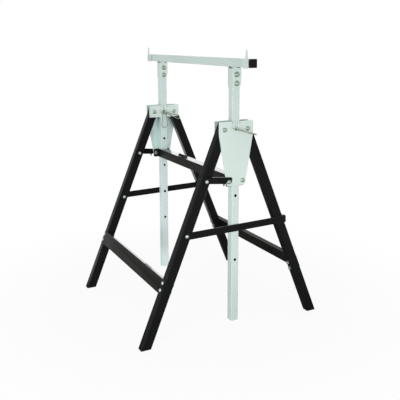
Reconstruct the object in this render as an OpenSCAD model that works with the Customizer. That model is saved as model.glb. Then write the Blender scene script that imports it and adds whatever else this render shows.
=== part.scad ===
// Builders trestle: a square tube beam on two uprights that lift out of a folding stand.
// Millimetres. X runs along the beam, Y from the front legs to the rear legs, Z up.
// The origin is on the floor, under the middle of the beam.

/* [Tubes] */
// Outside width of the beam's and uprights' square tube, and of the legs along the beam
tube_w = 25; // [22:0.5:28]
// Wall of the tubes
tube_wall = 1.5; // [1.2:0.1:2]
// Outside corner radius of the tubes
tube_r = 2.5; // [2.2:0.1:3.5]

/* [Stand] */
// Distance between the centre lines of the two uprights
upright_gap = 528; // [480:1:600]
// Height of the leg pivots and pin notches above the floor
head_z = 636; // [600:1:670]
// Distance between the front and rear feet, middle to middle, on the floor
foot_spread = 597.5; // [540:0.5:640]
// Distance of a leg pivot from the middle of the head
pivot_half = 39.5; // [39:0.5:42]
// Depth of the legs' tube, from the upright's side to the outer side
leg_depth = 30; // [27:0.5:31]
// Length of a leg above its pivot
leg_top = 15; // [11:0.5:17]

/* [Beam and uprights] */
// Height of the beam's top above the pin notches at the lowest setting
mast_rise = 208.5; // [170:0.5:260]
// Length of the beam beyond the middle of an upright, with its end plug
overhang = 105; // [80:1:150]
// Thickness of an end plug's cap
plug_cap = 4; // [2:0.5:5]
// Gap between an end plug and the end stop's bolt
plug_gap = 1; // [0.5:0.5:2]
// Clearance of an end plug all round inside the tube
plug_clear = 0.1; // [0.05:0.05:0.3]
// Height of an upright's lower end above the floor
upright_foot = 30; // [15:1:60]
// Gap between an upright's top and the beam
upright_gap_top = 4.5; // [2:0.5:8]
// Diameter of the height holes in the uprights and of the pin notches
hole_d = 9; // [8.6:0.1:10]
// Distance from one height hole to the next
hole_step = 101.7; // [90:0.1:110]
// Number of height holes in an upright
hole_count = 5; // [3:1:5]

/* [Saddles] */
// Thickness of a saddle's plate
saddle_t = 3; // [2:0.5:4]
// Depth of a saddle below the beam
saddle_drop = 61; // [56:1:72]
// Radius of the front lower corners of a saddle's ears
saddle_r = 6.5; // [2:0.5:8]
// Depth of a saddle's web below the beam
saddle_web = 36; // [30:1:46]
// Distance that an ear's lower rear corner is set in from the back of the web
saddle_toe = 5; // [3:0.5:7]
// Length of an ear's level top edge, under the front of the beam
saddle_seat = 6; // [4:0.5:12]
// Fall of an ear's top edge from there to the web
saddle_fall = 6; // [4:0.5:8]
// Gap between a saddle and the upright
saddle_clear = 0.2; // [0.1:0.1:0.5]
// Distance of the upper saddle bolt below the beam
saddle_bolt_drop = 22; // [18:1:24]
// Distance between the two bolts of a saddle
saddle_bolt_step = 26; // [22:1:28]

/* [Head plates] */
// Thickness of the head plates
plate_t = 2; // [1.5:0.1:3]
// Width of the head plates
plate_w = 117; // [112:1:132]
// Height of the head plates above the leg pivots
plate_rise = 24; // [20:1:32]
// Depth of the short inner plates below the leg pivots
inner_drop = 20; // [14:1:30]
// Depth of the straight part of the long outer plates below the leg pivots
straight_drop = 16; // [10:1:30]
// Depth of the long outer plates below the leg pivots
outer_drop = 171.5; // [169:0.5:182]
// Width of the long outer plates at their lower edge
outer_foot_w = 64; // [63:1:74]
// Corner radius of the plates' upper corners
plate_r = 3; // [1:0.5:6]
// Corner radius of the long plates' lower corners
plate_foot_r = 7; // [3:0.5:9]
// Gap between a head plate and the tubes that it holds
plate_clear = 0.3; // [0.2:0.05:0.5]
// Diameter of the two small holes at the top of each plate
spot_d = 4; // [3:0.5:5]
// Distance of the small holes below the plate's top
spot_drop = 5; // [4:0.5:7]

/* [Upper rail] */
// Sheet thickness of the black rails
rail_t = 2; // [1.5:0.1:2.5]
// Distance of the upper rail's top below the leg pivots
upper_rail_drop = 143; // [141:1:146]
// Height of the upper rail's sides
upper_rail_h = 30; // [28:1:34]
// Gap between the upper rail's sides and the uprights
guide_clear = 0.5; // [0.3:0.1:0.8]
// Distance of the front plate bolts, which the links hook onto, from the middle of the head
stud_front = 26; // [25:0.1:26.5]
// Distance of the rear plate bolts from the middle of the head
stud_rear = 22.9; // [22.4:0.1:24.5]
// Depth of the plate bolts below the leg pivots
stud_drop = 157.3; // [156:0.1:159]
// Reach of the rail's tabs beyond the plate bolts
tab_reach = 7.5; // [7:0.5:8]
// Corner radius of the rail's tabs
tab_r = 6; // [3:0.5:8]
// Gap between the rail's web and the uprights
web_gap = 1.5; // [1:0.5:4]

/* [Lower rails] */
// Height of a lower rail's face
lower_rail_h = 44; // [40:1:48]
// Width of a lower rail's flanges
lower_flange = 13; // [10:0.5:18]
// Distance of a lower rail's ends inside the outer sides of the legs
rail_inset = 4; // [2:0.5:5]
// Distance down the leg from its pivot to the middle of the lower rail
lower_rail_along = 496.5; // [470:0.5:530]
// Distance between the two bolts at each end of a lower rail
rail_bolt_step = 22; // [18:0.5:26]

/* [Latch links] */
// Distance down the front leg from its pivot to the link's bolt
link_along = 161.3; // [158:0.1:165]
// Height of a link
link_h = 20.5; // [19:0.5:22]
// Height of a link's middle line above its bolt and stud
link_rise = 3.75; // [3:0.25:4.5]
// Thickness of a link
link_t = 2.5; // [2:0.1:3]
// Reach of a link beyond the stud
link_end = 10.4; // [9:0.2:12]
// Radius of the upper corner at a link's end
link_r = 3.5; // [2:0.5:5]
// Depth of the hook's prong below the stud's middle, at its end
prong_drop = 2; // [1:0.5:3]
// Distance from the stud back to the nib under a link
nib_back = 15.6; // [15.4:0.2:17]
// Width of the nib under a link
nib_w = 3.8; // [3:0.2:4]
// Depth of the nib under a link
nib_drop = 6; // [4:0.5:6]
// Width of the hook's slot where the stud sits
hook_slot = 9; // [8.8:0.1:9.6]
// Width of the hook's slot at its mouth
hook_mouth = 11.5; // [11:0.5:13]
// Lean of the hook's slot from square, towards the leg
hook_lean = 27; // [24:1:30]
// Gap between a link and the head plate
link_gap = 0.3; // [0.2:0.05:0.5]

/* [Lower stays] */
// Distance down the front leg from its pivot to the stay's bolt
stay_along = 332.1; // [318:0.1:346]
// Height of a stay
stay_h = 22; // [18:0.5:24]
// Thickness of a stay
stay_t = 2.5; // [2:0.1:3]
// Rise of a stay towards the rear leg, in degrees
stay_slope = 1.2; // [0:0.1:3]
// Width of the lip that hooks round the rear leg
lip_w = 17; // [12:0.5:24]
// Gap between a stay and the legs
stay_gap = 0.3; // [0.2:0.05:0.5]

/* [Pins and clips] */
// Diameter of the height pins
pin_d = 8; // [7:0.1:8.2]
// Length of a pin beyond the head plate at its plain tip
pin_tip = 6; // [4:0.5:10]
// Length of a pin beyond the head plate at its clip end
pin_head = 13; // [12:0.5:16]
// Chamfer at a pin's ends
pin_chamfer = 1; // [0.5:0.1:1.5]
// Distance of a clip from the head plate
clip_off = 9.5; // [9:0.1:10]
// Wire diameter of the clips
clip_wire = 3; // [2.5:0.1:3.4]
// Clearance of the clip's leg in its hole through the pin
clip_clear = 0.2; // [0.1:0.05:0.3]
// Distance from a pin to the middle of the clip's eye
clip_len = 57; // [50:1:75]
// Radius of the clip's eye, at the middle of the wire
eye_r = 6; // [5:0.5:8]
// Length of the clip's straight leg beyond the pin
clip_tail = 14; // [10:1:18]
// Droop of the clips below level, in degrees
clip_droop = 18; // [0:1:30]
// Turn of the left clip about its straight leg, in degrees, with its waved leg below
clip_turn_left = 180; // [150:5:210]
// Turn of the right clip about its straight leg, in degrees, with its waved leg past the pin's end
clip_turn_right = 80; // [60:5:100]
// Wire diameter of the keeper ring on the left pin
ring_wire = 1.8; // [1.4:0.1:2.4]
// Length of the keeper ring below the pin
ring_drop = 60; // [50:1:75]
// Radius of the keeper ring's lower bend
ring_bend = 11.5; // [10:0.5:16]

/* [End stops] */
// Thickness of an end stop
stop_t = 3; // [2:0.5:4]
// Width of an end stop's base
stop_w = 31; // [26:1:34]
// Depth of an end stop below the beam
stop_lip = 2; // [0:0.5:4]
// Corner radius of an end stop's base
stop_r = 8; // [4:0.5:12]
// Distance of an end stop's bolt from the beam's end
stop_inset = 13; // [12.5:0.5:15]
// Distance of an end stop's bolt below the beam's middle
stop_bolt_low = 2.5; // [0:0.5:4]
// Width of an end stop's spike where it leaves the base
spike_w = 10.5; // [8:0.5:14]
// Height of an end stop's spike above the beam
spike_h = 26; // [20:1:40]
// Width of the spike at its tip
spike_tip = 3; // [2:0.5:5]
// Gap between an end stop and the beam
stop_gap = 0.3; // [0.2:0.05:0.5]

/* [Fasteners] */
// Diameter of the large bolts: pivots, saddles and plate bolts
bolt_d = 8; // [7:0.5:8]
// Head diameter of the saddle bolts
cap_head_d = 16.5; // [14:0.5:18]
// Head height of the saddle bolts
cap_head_h = 5; // [4:0.1:6]
// Head diameter of the other large bolts
bolt_head_d = 13.5; // [12:0.5:15]
// Head height of the other large bolts
bolt_head_h = 4.5; // [3.5:0.1:5]
// Width across flats of the large nuts
nut_w = 13; // [12:0.5:13]
// Height of the large nuts
nut_h = 6.5; // [5:0.1:7]
// Diameter of the small bolts: rails, stays, links and end stops
screw_d = 6; // [5:0.5:6.5]
// Head diameter of the small bolts
screw_head_d = 11; // [10:0.5:12]
// Head height of the small bolts
screw_head_h = 3.5; // [2.5:0.1:4]
// Width across flats of the small nuts
screw_nut_w = 10; // [9:0.5:10]
// Height of the small nuts
screw_nut_h = 5; // [4:0.1:6]
// Length of a bolt's thread beyond its nut
thread_past = 1.5; // [0.5:0.1:3]
// Clearance round a bolt in a fixed hole
bolt_clear = 0.1; // [0.05:0.05:0.3]
// Clearance round a bolt that something turns on
turn_clear = 0.05; // [0.02:0.01:0.1]

/* [Hidden] */
$fn = 48;
eps = 1;

zinc = [0.80, 0.86, 0.83];
coat = [0.10, 0.11, 0.11];
plastic = [0.06, 0.06, 0.06];
plated = [0.78, 0.82, 0.77];
spring = [0.72, 0.76, 0.66];

// Places that several pieces share
right_x = upright_gap / 2;
beam_len = upright_gap + 2 * overhang;
work_z = head_z + mast_rise;
tilt = atan((foot_spread / 2 - pivot_half) / head_z);
leg_len = head_z / cos(tilt) + leg_depth;
beam_z = work_z - tube_w;
beam_mid = work_z - tube_w / 2;
upright_top = beam_z - upright_gap_top;
saddle_in = tube_w / 2 + saddle_clear;
saddle_out = saddle_in + saddle_t;
plate_in = tube_w / 2 + plate_clear;
plate_out = plate_in + plate_t;
stud_z = head_z - stud_drop;
upper_rail_top = head_z - upper_rail_drop;
upper_rail_low = upper_rail_top - upper_rail_h;
guide_y = tube_w / 2 + guide_clear;
link_x = plate_out + link_gap;
stay_x = tube_w / 2 + stay_gap;
stop_y = tube_w / 2 + stop_gap;
stop_x = beam_len / 2 - stop_inset;
stop_z = beam_mid - stop_bolt_low;
plug_depth = stop_inset - plug_cap - screw_d / 2 - plug_gap;
clip_x = plate_out + clip_off;
link_at = leg_at(link_along);
stay_at = leg_at(stay_along);
link_run = [link_at[0] - stud_front, stud_z - link_at[1]];
link_len = norm(link_run);
link_angle = atan2(link_run[1], link_run[0]);

// Distance from the middle, and height, of the point s down a leg from its pivot
function leg_at(s) = [pivot_half + s * sin(tilt), head_z - s * cos(tilt)];

// Distance of the plate bolts from the middle of the head, on the front (-1) or the rear (1)
function stud_at(side) = side < 0 ? stud_front : stud_rear;

// Points on an arc about c
function arc(c, r, from, to, steps = 8) =
    [for (i = [0:steps]) c + r * [cos(from + (to - from) * i / steps), sin(from + (to - from) * i / steps)]];

// Flat outlines

module rounded_rect(w, h, r) {
    square([w - 2 * r, h], center = true);
    square([w, h - 2 * r], center = true);
    for (x = [-1, 1])
        for (y = [-1, 1])
            translate([x * (w / 2 - r), y * (h / 2 - r)])
                circle(r = r);
}

module tube_section(depth = tube_w) {
    difference() {
        rounded_rect(tube_w, depth, tube_r);
        rounded_rect(tube_w - 2 * tube_wall, depth - 2 * tube_wall, tube_r - tube_wall);
    }
}

// Shared placing

// A flat outline in Y and Z, from x0 on, t thick
module yz_sheet(x0, t) {
    translate([x0, 0, 0])
        rotate([90, 0, 90])
            linear_extrude(t)
                children();
}

// A flat outline in X and Z, from y0 towards the front, t thick
module xz_sheet(y0, t) {
    translate([0, y0, 0])
        rotate([90, 0, 0])
            linear_extrude(t)
                children();
}

// A bore or rod along X, centred on x
module along_x(x, y, z, d, len) {
    translate([x - len / 2, y, z])
        rotate([0, 90, 0])
            cylinder(d = d, h = len);
}

// A bore or rod along Y, centred on y
module along_y(x, y, z, d, len) {
    translate([x, y + len / 2, z])
        rotate([90, 0, 0])
            cylinder(d = d, h = len);
}

// side is -1 for the left or front of the stand and 1 for the right or rear
module on_side_x(side) {
    mirror([side < 0 ? 1 : 0, 0, 0])
        children();
}

module on_side_y(side) {
    mirror([0, side < 0 ? 1 : 0, 0])
        children();
}

// The frame of a leg: origin at the pivot, Z up the leg, Y away from the uprights
module in_leg(x, side_y) {
    on_side_y(side_y)
        translate([x, pivot_half, head_z])
            rotate([tilt, 0, 0])
                children();
}

// Fasteners: the head seats at z = 0 and points up, the nut seats at -grip

module dome(d, h) {
    ball = (d * d / 4 + h * h) / (2 * h);
    intersection() {
        translate([0, 0, h - ball])
            sphere(r = ball);
        cylinder(d = d, h = h);
    }
}

module bolt_and_nut(d, head_d, head_h, nut_flat, nut_height, grip) {
    past = grip + nut_height + thread_past;
    union() {
        dome(head_d, head_h);
        translate([0, 0, -past])
            cylinder(d = d, h = past);
    }
    translate([0, 0, -grip - nut_height])
        difference() {
            cylinder(d = nut_flat / cos(30), h = nut_height, $fn = 6);
            translate([0, 0, -eps])
                cylinder(d = d + 2 * bolt_clear, h = nut_height + 2 * eps);
        }
}

module large_bolt(grip) {
    bolt_and_nut(bolt_d, bolt_head_d, bolt_head_h, nut_w, nut_h, grip);
}

module small_bolt(grip) {
    bolt_and_nut(screw_d, screw_head_d, screw_head_h, screw_nut_w, screw_nut_h, grip);
}

// The mast: beam, plugs, saddles and uprights

module beam() {
    color(zinc)
        difference() {
            translate([-beam_len / 2 + plug_cap, 0, beam_mid])
                rotate([0, 90, 0])
                    linear_extrude(beam_len - 2 * plug_cap)
                        tube_section();
            for (side = [-1, 1])
                along_y(side * stop_x, 0, stop_z, screw_d + 2 * bolt_clear, tube_w + 2 * eps);
        }
}

module beam_plug(side) {
    inner = tube_w - 2 * tube_wall - 2 * plug_clear;
    color(plastic)
        on_side_x(side)
            translate([beam_len / 2 - plug_cap, 0, beam_mid])
                rotate([0, 90, 0]) {
                    linear_extrude(plug_cap)
                        rounded_rect(tube_w, tube_w, tube_r);
                    translate([0, 0, -plug_depth])
                        linear_extrude(plug_depth + plug_cap / 2)
                            rounded_rect(inner, inner, tube_r - tube_wall);
                }
}

// A channel of plate under the beam, open to the front, with its web behind the upright and up to the beam
module saddle(side) {
    color(zinc)
        translate([side * right_x, 0, 0])
            difference() {
                union() {
                    for (ear = [-1, 1])
                        on_side_x(ear)
                            yz_sheet(saddle_in, saddle_t)
                                saddle_ear();
                    translate([-saddle_out, saddle_in, beam_z - saddle_web])
                        cube([2 * saddle_out, saddle_t, saddle_web - saddle_fall]);
                    translate([-saddle_in, saddle_in, beam_z - saddle_web])
                        cube([2 * saddle_in, saddle_t, saddle_web]);
                }
                for (i = [0, 1])
                    along_x(0, 0, saddle_bolt_z(i), bolt_d + 2 * bolt_clear, 2 * saddle_out + 2 * eps);
            }
}

module saddle_ear() {
    low = beam_z - saddle_drop;
    front = -tube_w / 2;
    polygon(concat(
        [
            [saddle_out - saddle_toe, low],
            [saddle_out, beam_z - saddle_web],
            [saddle_out, beam_z - saddle_fall],
            [front + saddle_seat, beam_z],
            [front, beam_z]
        ],
        arc([front + saddle_r, low + saddle_r], saddle_r, 180, 270)
    ));
}

function saddle_bolt_z(i) = beam_z - saddle_bolt_drop - i * saddle_bolt_step;

module saddle_bolts() {
    color(plated)
        for (side = [-1, 1])
            for (i = [0, 1])
                translate([side * right_x + saddle_out, 0, saddle_bolt_z(i)])
                    rotate([0, 90, 0])
                        bolt_and_nut(bolt_d, cap_head_d, cap_head_h, nut_w, nut_h, 2 * saddle_out);
}

module upright(side) {
    color(zinc)
        difference() {
            translate([side * right_x, 0, upright_foot])
                linear_extrude(upright_top - upright_foot)
                    tube_section();
            for (i = [0:hole_count - 1])
                along_x(side * right_x, 0, head_z - i * hole_step, hole_d, tube_w + 2 * eps);
            for (i = [0, 1])
                along_x(side * right_x, 0, saddle_bolt_z(i), bolt_d + 2 * bolt_clear, tube_w + 2 * eps);
        }
}

// End stops: a flat base that turns on a bolt through the beam, with a spike above the bolt

module end_stop(side) {
    base_h = tube_w + stop_lip;
    base_x = beam_len / 2 - plug_cap - stop_w / 2;
    color(zinc)
        on_side_x(side)
            difference() {
                xz_sheet(-stop_y, stop_t)
                    union() {
                        translate([base_x, work_z - base_h / 2])
                            rounded_rect(stop_w, base_h, stop_r);
                        translate([stop_x, work_z])
                            polygon([
                                [-spike_w / 2, -stop_r],
                                [spike_w / 2, -stop_r],
                                [spike_w / 2, 0],
                                [spike_tip / 2, spike_h],
                                [-spike_tip / 2, spike_h],
                                [-spike_w / 2, 0]
                            ]);
                    }
                along_y(stop_x, -stop_y, stop_z, screw_d + 2 * turn_clear, 4 * stop_t);
            }
}

module stop_bolts() {
    seat = stop_y + stop_t + stop_gap;
    color(plated)
        for (side = [-1, 1])
            translate([side * stop_x, -seat, stop_z])
                rotate([90, 0, 0])
                    small_bolt(seat + tube_w / 2);
}

// The head: two long outer plates, two short inner plates, the upper rail and their bolts

module pin_notch() {
    translate([0, head_z])
        circle(d = hole_d);
    translate([-hole_d / 2, head_z])
        square([hole_d, plate_rise + eps]);
}

module plate_holes() {
    for (side = [-1, 1]) {
        translate([side * pivot_half, head_z])
            circle(d = bolt_d + 2 * bolt_clear);
        translate([side * tube_w / 2, head_z + plate_rise - spot_drop])
            circle(d = spot_d);
    }
    pin_notch();
}

function plate_top() = concat(
    arc([plate_w / 2 - plate_r, head_z + plate_rise - plate_r], plate_r, 0, 90),
    arc([-plate_w / 2 + plate_r, head_z + plate_rise - plate_r], plate_r, 90, 180)
);

module outer_plate(side) {
    low = head_z - outer_drop;
    knee = head_z - straight_drop;
    foot_x = outer_foot_w / 2 - plate_foot_r;
    taper = atan((plate_w - outer_foot_w) / 2 / (knee - low));
    color(zinc)
        on_side_x(side)
            yz_sheet(right_x + plate_in, plate_t)
                difference() {
                    polygon(concat(
                        plate_top(),
                        [[-plate_w / 2, knee]],
                        arc([-foot_x, low + plate_foot_r], plate_foot_r, 180 + taper, 270),
                        arc([foot_x, low + plate_foot_r], plate_foot_r, 270, 360 - taper),
                        [[plate_w / 2, knee]]
                    ));
                    plate_holes();
                    for (y = [-1, 1])
                        translate([y * stud_at(y), stud_z])
                            circle(d = bolt_d + 2 * bolt_clear);
                }
}

module inner_plate(side) {
    low = head_z - inner_drop;
    color(zinc)
        on_side_x(side)
            yz_sheet(right_x - plate_out, plate_t)
                difference() {
                    polygon(concat(
                        plate_top(),
                        arc([-plate_w / 2 + plate_r, low + plate_r], plate_r, 180, 270),
                        arc([plate_w / 2 - plate_r, low + plate_r], plate_r, 270, 360)
                    ));
                    plate_holes();
                }
}

// An upside-down channel that straddles both uprights, with tabs turned out onto the outer plates
module upper_rail() {
    side_len = 2 * (right_x + plate_in);
    web_len = upright_gap - tube_w - 2 * web_gap;
    color(coat) {
        translate([-web_len / 2, -guide_y, upper_rail_top - rail_t])
            cube([web_len, 2 * guide_y, rail_t]);
        for (y = [-1, 1])
            on_side_y(y) {
                translate([-side_len / 2, guide_y, upper_rail_low])
                    cube([side_len, rail_t, upper_rail_h]);
                for (x = [-1, 1])
                    on_side_x(x)
                        yz_sheet(right_x + plate_in - rail_t, rail_t)
                            rail_tab(stud_at(y));
            }
    }
}

module rail_tab(stud) {
    tip = stud + tab_reach;
    difference() {
        polygon(concat(
            [[guide_y, upper_rail_top], [guide_y, upper_rail_low]],
            arc([tip - tab_r, upper_rail_low + tab_r], tab_r, 270, 360),
            arc([tip - tab_r, upper_rail_top - tab_r], tab_r, 0, 90)
        ));
        translate([stud, stud_z])
            circle(d = bolt_d + 2 * bolt_clear);
    }
}

module leg_pivot_bolts() {
    color(plated)
        for (x = [-1, 1])
            for (y = [-1, 1])
                translate([x * right_x + plate_out, y * pivot_half, head_z])
                    rotate([0, 90, 0])
                        large_bolt(2 * plate_out);
}

// The front plate bolts, which stand proud so that the links hook onto them
module hook_studs() {
    seat = link_x + link_t + link_gap;
    color(plated)
        for (x = [-1, 1])
            on_side_x(x)
                translate([right_x + seat, -stud_front, stud_z])
                    rotate([0, 90, 0])
                        large_bolt(seat - plate_in + rail_t);
}

module plate_bolts() {
    color(plated)
        for (x = [-1, 1])
            on_side_x(x)
                translate([right_x + plate_out, stud_rear, stud_z])
                    rotate([0, 90, 0])
                        large_bolt(plate_t + rail_t);
}

// Legs and lower rails

module leg(x, y) {
    color(coat)
        difference() {
            in_leg(x * right_x, y)
                difference() {
                    translate([0, 0, -leg_len])
                        linear_extrude(leg_len + leg_top)
                            tube_section(leg_depth);
                    along_x(0, 0, 0, bolt_d + 2 * turn_clear, tube_w + 2 * eps);
                    for (i = [-1, 1])
                        along_y(0, 0, rail_bolt_z(i), screw_d + 2 * bolt_clear, leg_depth + 2 * eps);
                    if (y < 0)
                        for (s = [link_along, stay_along])
                            along_x(0, 0, -s, screw_d + 2 * bolt_clear, tube_w + 2 * eps);
                }
            translate([x * right_x - tube_w, -foot_spread, -tube_w * 3])
                cube([2 * tube_w, 2 * foot_spread, tube_w * 3]);
        }
}

function rail_bolt_z(i) = -lower_rail_along + i * rail_bolt_step / 2;

// A channel across the outer faces of two legs, with its flanges turned in between them
module lower_rail(y) {
    face_len = upright_gap + tube_w - 2 * rail_inset;
    flange_len = upright_gap - tube_w - 2 * web_gap;
    out = leg_depth / 2;
    color(coat)
        in_leg(0, y)
            difference() {
                union() {
                    translate([-face_len / 2, out, -lower_rail_along - lower_rail_h / 2])
                        cube([face_len, rail_t, lower_rail_h]);
                    for (edge = [rail_t - lower_rail_h, lower_rail_h - rail_t])
                        translate([-flange_len / 2, out + rail_t - lower_flange,
                                   -lower_rail_along + edge / 2 - rail_t / 2])
                            cube([flange_len, lower_flange, rail_t]);
                }
                for (x = [-1, 1])
                    for (i = [-1, 1])
                        along_y(x * right_x, out, rail_bolt_z(i), screw_d + 2 * bolt_clear, 4 * rail_t);
            }
}

module lower_rail_bolts(y) {
    seat = leg_depth / 2 + rail_t;
    color(plated)
        for (x = [-1, 1])
            for (i = [-1, 1])
                in_leg(x * right_x, y)
                    translate([0, seat, rail_bolt_z(i)])
                        rotate([-90, 0, 0])
                            small_bolt(seat + leg_depth / 2);
}

// Latch links and lower stays, hinged on the front legs

module latch_link(x) {
    color(coat)
        on_side_x(x)
            yz_sheet(right_x + link_x, link_t)
                translate([-link_at[0], link_at[1]])
                    rotate(link_angle)
                        link_outline();
}

module link_outline() {
    low = link_rise - link_h / 2;
    high = link_rise + link_h / 2;
    tip = link_len + link_end;
    nib = link_len - nib_back;
    depth = -low / cos(hook_lean);
    neck = hook_slot * 0.95;
    flare = hook_mouth - neck;
    difference() {
        polygon(concat(
            arc([0, link_rise], link_h / 2, 90, 270, 16),
            [[nib - nib_w / 2, low], [nib - nib_w / 2, low - nib_drop]],
            [[nib + nib_w / 2, low - nib_drop], [nib + nib_w / 2, low]],
            [[link_len, low], [tip, -prong_drop]],
            arc([tip - link_r, high - link_r], link_r, 0, 90)
        ));
        circle(d = screw_d + 2 * turn_clear);
        translate([link_len, 0]) {
            circle(d = hook_slot);
            rotate(-hook_lean)
                polygon([
                    [-neck / 2, 0],
                    [-neck / 2 - flare, -2 * depth],
                    [neck / 2 + flare, -2 * depth],
                    [neck / 2, 0]
                ]);
        }
    }
}

module link_bolts() {
    seat = link_x + link_t + link_gap;
    color(plated)
        for (x = [-1, 1])
            on_side_x(x)
                translate([right_x + seat, -link_at[0], link_at[1]])
                    rotate([0, 90, 0])
                        small_bolt(seat + tube_w / 2);
}

// Collars that hold the links off the legs, level with the outside of the head plates
module link_spacers() {
    color(plated)
        for (x = [-1, 1])
            on_side_x(x)
                yz_sheet(right_x + tube_w / 2, link_x - tube_w / 2 - link_gap)
                    translate([-link_at[0], link_at[1]])
                        difference() {
                            circle(d = screw_head_d + 2 * thread_past);
                            circle(d = screw_d + 2 * bolt_clear);
                        }
}

// Length of a stay from its bolt to the inside of its lip, so that the lip's lower edge meets the rear leg
function stay_len() =
    let (
        edge = pivot_half + leg_depth / 2 / cos(tilt),
        drop = head_z - stay_at[1] + stay_h / 2 * cos(stay_slope),
        reach = edge + tan(tilt) * drop + stay_gap + stay_at[0] - stay_h / 2 * sin(stay_slope)
    )
    reach / (cos(stay_slope) + tan(tilt) * sin(stay_slope));

module stay(x) {
    color(coat)
        on_side_x(x)
            translate([right_x + stay_x, -stay_at[0], stay_at[1]])
                rotate([stay_slope, 0, 0]) {
                    yz_sheet(0, stay_t)
                        difference() {
                            union() {
                                circle(d = stay_h);
                                translate([0, -stay_h / 2])
                                    square([stay_len() + stay_t, stay_h]);
                            }
                            circle(d = screw_d + 2 * turn_clear);
                        }
                    translate([stay_t - lip_w, stay_len(), -stay_h / 2])
                        cube([lip_w, stay_t, stay_h]);
                }
}

module stay_bolts() {
    seat = stay_x + stay_t + stay_gap;
    color(plated)
        for (x = [-1, 1])
            on_side_x(x)
                translate([right_x + seat, -stay_at[0], stay_at[1]])
                    rotate([0, 90, 0])
                        small_bolt(seat + tube_w / 2);
}

// Height pins, their spring clips and the left pin's keeper ring

module in_clip(side) {
    translate([side * right_x + clip_x, 0, head_z])
        rotate([-clip_droop, 0, 0])
            children();
}

module height_pin(side) {
    start = -plate_out - pin_tip;
    len = 2 * plate_out + pin_tip + pin_head;
    point_d = pin_d - 2 * pin_chamfer;
    color(plated)
        difference() {
            translate([side * right_x + start, 0, head_z])
                rotate([0, 90, 0]) {
                    cylinder(d1 = point_d, d2 = pin_d, h = pin_chamfer);
                    translate([0, 0, pin_chamfer])
                        cylinder(d = pin_d, h = len - 2 * pin_chamfer);
                    translate([0, 0, len - pin_chamfer])
                        cylinder(d1 = pin_d, d2 = point_d, h = pin_chamfer);
                }
            in_clip(side)
                along_y(0, 0, 0, clip_wire + 2 * clip_clear, 2 * pin_d);
        }
}

// Points and headings along a bent wire: each step is a straight run, a turn and the turn's radius
function wire_line(steps, at, way = 0, i = 0) =
    i == len(steps) ? [] :
    let (
        turn = steps[i][1],
        bend = sign(turn) * steps[i][2],
        corner = at + steps[i][0] * [cos(way), sin(way)],
        mid = corner + bend * [-sin(way), cos(way)],
        count = max(1, ceil(abs(turn) / 12)),
        curve = [for (k = [0:turn == 0 ? 0 : count])
            let (a = way + turn * k / count)
            [mid + bend * [sin(a), -cos(a)], a]]
    )
    concat(i == 0 ? [[at, way]] : [], curve, wire_line(steps, curve[len(curve) - 1][0], way + turn, i + 1));

// The edge of a wire at a distance to the left of its line
function wire_edge(line, off) = [for (q = line) q[0] + off * [-sin(q[1]), cos(q[1])]];

// A straight round leg through the pin, then an eye and a waved leg that passes the pin
module spring_clip(side) {
    flat = clip_wire + clip_clear;
    line = wire_line([
        [2 * flat, 190, eye_r],
        [clip_len * 0.68, -28, eye_r],
        [pin_d / 2, 20, pin_d],
        [clip_tail, -22, pin_d],
        [clip_tail / 2, 0, 0]
    ], [clip_len - 2 * flat, 0]);
    back = wire_edge(line, -flat / 2);
    color(spring)
        in_clip(side)
            rotate([0, side < 0 ? clip_turn_left : clip_turn_right, 0]) {
                translate([0, -clip_tail, 0])
                    rotate([-90, 0, 0])
                        cylinder(d = clip_wire, h = clip_tail + clip_len - flat);
                yz_sheet(-flat / 2, flat)
                    polygon(concat(wire_edge(line, flat / 2), [for (i = [1:len(back)]) back[len(back) - i]]));
            }
}

// A loop of thin wire that hangs on the left pin between the plate and the clip
module keeper_ring() {
    color(spring)
        yz_sheet(-right_x + plate_out + ring_wire, ring_wire)
            translate([0, head_z])
                difference() {
                    ring_outline(ring_wire / 2);
                    ring_outline(-ring_wire / 2);
                }
}

module ring_outline(off) {
    top_r = pin_d / 2 + ring_wire / 2 + clip_clear;
    fall = ring_drop - ring_bend;
    lean = asin((ring_bend - top_r) / fall);
    polygon(concat(
        arc([0, 0], top_r + off, lean, 180 - lean, 16),
        arc([0, -fall], ring_bend + off, 180 - lean, 360 + lean, 16)
    ));
}

beam();
beam_plug(-1);  // beam_plug_left
beam_plug(1);  // beam_plug_right
saddle(-1);  // saddle_left
saddle(1);  // saddle_right
upright(-1);  // upright_left
upright(1);  // upright_right
saddle_bolts();
end_stop(-1);  // stop_left
end_stop(1);  // stop_right
stop_bolts();
outer_plate(-1);  // outer_plate_left
outer_plate(1);  // outer_plate_right
inner_plate(-1);  // inner_plate_left
inner_plate(1);  // inner_plate_right
upper_rail();
leg_pivot_bolts();
hook_studs();
plate_bolts();
leg(-1, -1);  // leg_front_left
leg(1, -1);  // leg_front_right
lower_rail(-1);  // front_rail
lower_rail_bolts(-1);  // front_rail_bolts
link_bolts();
link_spacers();
stay_bolts();
leg(-1, 1);  // leg_rear_left
leg(1, 1);  // leg_rear_right
lower_rail(1);  // rear_rail
lower_rail_bolts(1);  // rear_rail_bolts
latch_link(-1);  // latch_link_left
latch_link(1);  // latch_link_right
stay(-1);  // stay_left
stay(1);  // stay_right
height_pin(-1);  // pin_left
height_pin(1);  // pin_right
spring_clip(-1);  // clip_left
spring_clip(1);  // clip_right
keeper_ring();
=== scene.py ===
import math

import bpy
from mathutils import Matrix, Vector


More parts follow.
